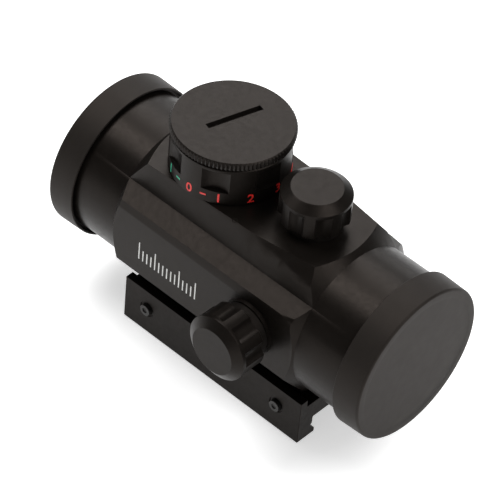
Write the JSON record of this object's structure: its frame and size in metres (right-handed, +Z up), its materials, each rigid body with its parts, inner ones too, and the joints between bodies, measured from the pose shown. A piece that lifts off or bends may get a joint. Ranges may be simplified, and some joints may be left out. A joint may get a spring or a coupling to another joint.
{
  "type": "red dot finder",
  "caption": "Tubular red dot sight with capped windage and elevation turrets, a rheostat dial over a coin cell and a clamp for a dovetail rail.",
  "frame": {"origin": "on the flat of the mount that seats on the rail, under the middle of the sight", "axes": "+X forward along the sight towards the objective, +Y to the user's left, +Z up away from the rail"},
  "size_m": [0.0987, 0.052, 0.0648],
  "materials": {
    "anodised_body": "satin black anodised",
    "anodised_trim": "matte black anodised",
    "anodised_mount": "matte black anodised",
    "turret_cap": "satin black anodised",
    "dial_body": "satin black anodised",
    "battery_cap": "satin black anodised",
    "cap_rubber": "soft sheen",
    "seal_rubber": "matte",
    "optical_glass": "clear, anti-reflection coated",
    "coated_glass": "red reflecting coating",
    "brass_parts": "turned",
    "contact_brass": "stamped",
    "spring_steel": "polished",
    "screw_steel": "black oxide",
    "battery_steel": "bright",
    "black_plastic": "matte",
    "circuit_board": "solder mask",
    "led_epoxy": "clear red",
    "lead_insulation": "matte"
  },
  "bodies": {
    "housing": {"housing": "anodised_body", "rear_window": "optical_glass", "rear_window_ring": "anodised_trim", "led_lead": "lead_insulation", "return_spring": "spring_steel", "elevation_bushing": "anodised_trim", "windage_bushing": "anodised_trim", "dial_hub": "black_plastic", "hub_screws": "screw_steel", "dial_screw": "screw_steel", "switch_board": "circuit_board", "detent_ball": "spring_steel", "detent_spring": "spring_steel", "mount_base": "anodised_mount", "mount_screws": "screw_steel"},
    "front_cap": {"front_lens_cap": "cap_rubber"},
    "rear_cap": {"rear_lens_cap": "cap_rubber"},
    "gimbal": {"pivot_ring": "brass_parts"},
    "inner_tube": {"inner_tube": "anodised_trim", "objective_lens": "coated_glass", "objective_ring": "anodised_trim", "emitter_holder": "black_plastic", "led": "led_epoxy"},
    "elevation_adjuster": {"elevation_adjuster": "brass_parts"},
    "elevation_pusher": {"elevation_pusher": "spring_steel"},
    "elevation_seal": {"elevation_seal": "seal_rubber"},
    "elevation_cap": {"elevation_cap": "turret_cap"},
    "windage_adjuster": {"windage_adjuster": "brass_parts"},
    "windage_pusher": {"windage_pusher": "spring_steel"},
    "windage_seal": {"windage_seal": "seal_rubber"},
    "windage_cap": {"windage_cap": "turret_cap"},
    "dial": {"rheostat_dial": "dial_body", "dial_wiper": "contact_brass", "battery_contact": "contact_brass", "battery": "battery_steel"},
    "battery_seal": {"battery_seal": "seal_rubber"},
    "battery_cap": {"battery_cap": "battery_cap"},
    "jaw": {"clamp_jaw": "anodised_mount"},
    "clamp_screw_rear": {"clamp_screw_rear": "screw_steel"},
    "clamp_screw_front": {"clamp_screw_front": "screw_steel"}
  },
  "joints": [
    {"name": "front_cap_pull", "type": "slide", "parent": "housing", "child": "front_cap", "axis": [1, 0, 0], "range_m": [0, 0.012]},
    {"name": "rear_cap_pull", "type": "slide", "parent": "housing", "child": "rear_cap", "axis": [-1, 0, 0], "range_m": [0, 0.012]},
    {"name": "gimbal_yaw", "type": "hinge", "parent": "housing", "child": "gimbal", "pos_m": [-0.0375, 0, 0.0257], "axis": [0, 0, 1], "range_deg": [-0.485, 0.485]},
    {"name": "tube_pitch", "type": "hinge", "parent": "gimbal", "child": "inner_tube", "pos_m": [-0.0375, 0, 0.0257], "axis": [0, 1, 0], "range_deg": [-0.485, 0.485], "deforming": ["led_lead", "return_spring"]},
    {"name": "elevation_turn", "type": "hinge", "parent": "housing", "child": "elevation_adjuster", "pos_m": [0.0117, 0, 0.0461], "axis": [0, 0, 1], "range_deg": [-300, 300]},
    {"name": "elevation_push", "type": "slide", "parent": "housing", "child": "elevation_pusher", "axis": [0, 0, 1], "range_m": [-0.00042, 0.00042]},
    {"name": "windage_turn", "type": "hinge", "parent": "housing", "child": "windage_adjuster", "pos_m": [0.0117, -0.0204, 0.0257], "axis": [0, -1, 0], "range_deg": [-300, 300]},
    {"name": "windage_push", "type": "slide", "parent": "housing", "child": "windage_pusher", "axis": [0, -1, 0], "range_m": [-0.00042, 0.00042]},
    {"name": "elevation_cap_lift", "type": "slide", "parent": "housing", "child": "elevation_seal", "axis": [0, 0, 1], "range_m": [0, 0.0045]},
    {"name": "elevation_cap_turn", "type": "hinge", "parent": "elevation_seal", "child": "elevation_cap", "pos_m": [0.0117, 0, 0.0461], "axis": [0, 0, 1], "range_deg": [0, 2165]},
    {"name": "windage_cap_lift", "type": "slide", "parent": "housing", "child": "windage_seal", "axis": [0, -1, 0], "range_m": [0, 0.0045]},
    {"name": "windage_cap_turn", "type": "hinge", "parent": "windage_seal", "child": "windage_cap", "pos_m": [0.0117, -0.0204, 0.0257], "axis": [0, -1, 0], "range_deg": [0, 2165]},
    {"name": "dial_turn", "type": "hinge", "parent": "housing", "child": "dial", "pos_m": [-0.0146, 0, 0.0461], "axis": [0, 0, 1], "range_deg": [-150, 150]},
    {"name": "battery_cap_lift", "type": "slide", "parent": "dial", "child": "battery_seal", "axis": [0, 0, 1], "range_m": [0, 0.003]},
    {"name": "battery_cap_turn", "type": "hinge", "parent": "battery_seal", "child": "battery_cap", "pos_m": [-0.0146, 0, 0.0564], "axis": [0, 0, 1], "range_deg": [0, 1445]},
    {"name": "jaw_slide", "type": "slide", "parent": "housing", "child": "jaw", "axis": [0, 1, 0], "range_m": [0, 0.002]},
    {"name": "rear_screw_turn", "type": "hinge", "parent": "jaw", "child": "clamp_screw_rear", "pos_m": [-0.0238, 0.0149, 0.0017], "axis": [0, 1, 0], "range_deg": [0, 1445]},
    {"name": "front_screw_turn", "type": "hinge", "parent": "jaw", "child": "clamp_screw_front", "pos_m": [0.0187, 0.0149, 0.0017], "axis": [0, 1, 0], "range_deg": [0, 1445]}
  ],
  "couplings": [
    {"joint": "elevation_turn", "follows": "tube_pitch", "ratio": -618.27},
    {"joint": "elevation_push", "follows": "tube_pitch", "m_per_rad": -0.0492},
    {"joint": "windage_turn", "follows": "gimbal_yaw", "ratio": -618.27},
    {"joint": "windage_push", "follows": "gimbal_yaw", "m_per_rad": -0.0492},
    {"joint": "elevation_cap_turn", "follows": "elevation_cap_lift", "rad_per_m": 8377.6},
    {"joint": "windage_cap_turn", "follows": "windage_cap_lift", "rad_per_m": 8377.6},
    {"joint": "battery_cap_turn", "follows": "battery_cap_lift", "rad_per_m": 8377.6},
    {"joint": "rear_screw_turn", "follows": "jaw_slide", "rad_per_m": 12566},
    {"joint": "front_screw_turn", "follows": "jaw_slide", "rad_per_m": 12566}
  ]
}
